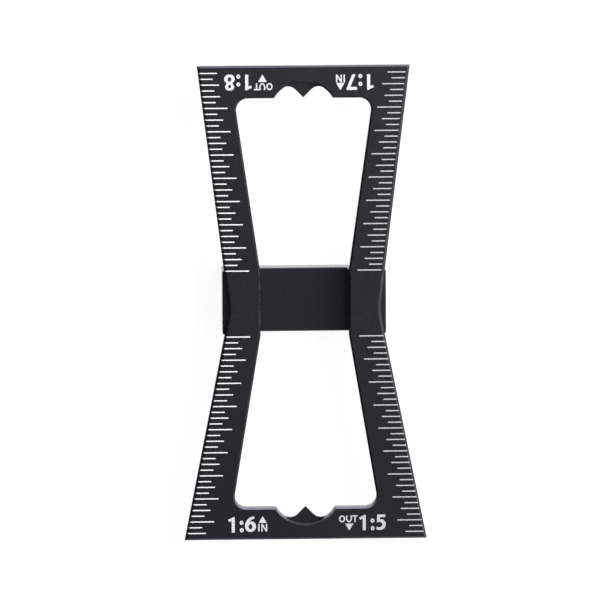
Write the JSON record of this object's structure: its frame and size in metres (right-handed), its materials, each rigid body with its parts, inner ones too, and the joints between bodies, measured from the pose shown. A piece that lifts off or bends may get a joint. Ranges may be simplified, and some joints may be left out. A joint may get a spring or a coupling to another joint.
{
  "type": "dovetail marker",
  "caption": "Flat hourglass gauge with two open tapered blades on a square fence block, for marking dovetail slopes on wood.",
  "frame": {"origin": "middle of the fence's back face, on which the marker rests", "axes": "+Z out of the scale side, +Y along the blades towards the 1:8 and 1:7 end, +X to the right as the scale side is read"},
  "size_m": [0.0662, 0.1298, 0.016],
  "materials": {
    "black_anodised": "satin black anodised",
    "white_marking": "matt white marking"
  },
  "bodies": {
    "root": {"marker_body": "black_anodised"}
  },
  "joints": []
}
